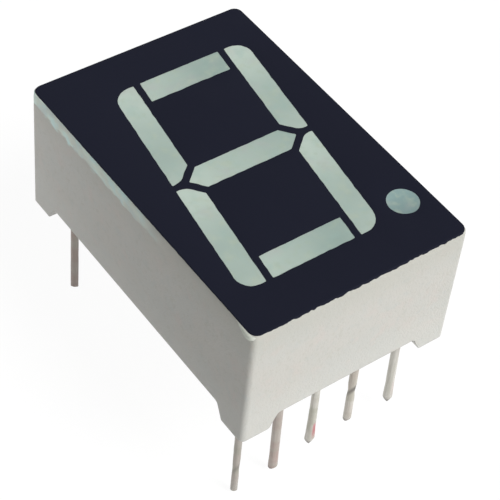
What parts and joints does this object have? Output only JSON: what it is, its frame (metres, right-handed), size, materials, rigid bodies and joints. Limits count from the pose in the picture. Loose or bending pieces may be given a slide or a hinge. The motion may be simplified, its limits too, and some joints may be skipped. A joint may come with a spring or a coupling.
{
  "type": "seven segment display",
  "caption": "Single digit LED numeric display with a slanted seven segment figure, a decimal point, a black face in a white housing and two rows of round through-hole pins.",
  "frame": {"origin": "middle of the seating plane, where the four corner feet stand on the host board", "axes": "+Z out of the lit face, +Y up the digit along the long side, +X across the digit to the right"},
  "size_m": [0.0126, 0.019, 0.0145],
  "materials": {
    "housing_plastic": "fine satin moulding, warm white",
    "face_ink": "flat blue-black print",
    "light_segment": "milky cast resin, pale grey-green",
    "board_laminate": "solder mask on laminate",
    "copper": "gold flashed copper",
    "chip": "polished semiconductor",
    "wire": "bright drawn wire",
    "tinned_pin": "dull tin plate",
    "solder": "bright solder",
    "potting_resin": "cast resin, slightly cloudy"
  },
  "bodies": {
    "root": {"housing": "housing_plastic", "face_print": "face_ink", "segment_a": "light_segment", "segment_b": "light_segment", "segment_c": "light_segment", "segment_d": "light_segment", "segment_e": "light_segment", "segment_f": "light_segment", "segment_g": "light_segment", "decimal_point": "light_segment", "circuit_board": "board_laminate", "board_copper": "copper", "led_chip_a": "chip", "led_chip_b": "chip", "led_chip_c": "chip", "led_chip_d": "chip", "led_chip_e": "chip", "led_chip_f": "chip", "led_chip_g": "chip", "led_chip_dp": "chip", "bond_wire_a": "wire", "bond_wire_b": "wire", "bond_wire_c": "wire", "bond_wire_d": "wire", "bond_wire_e": "wire", "bond_wire_f": "wire", "bond_wire_g": "wire", "bond_wire_dp": "wire", "pin_1": "tinned_pin", "pin_2": "tinned_pin", "pin_3": "tinned_pin", "pin_4": "tinned_pin", "pin_5": "tinned_pin", "pin_6": "tinned_pin", "pin_7": "tinned_pin", "pin_8": "tinned_pin", "pin_9": "tinned_pin", "pin_10": "tinned_pin", "solder_joints": "solder", "back_potting": "potting_resin"}
  },
  "joints": []
}
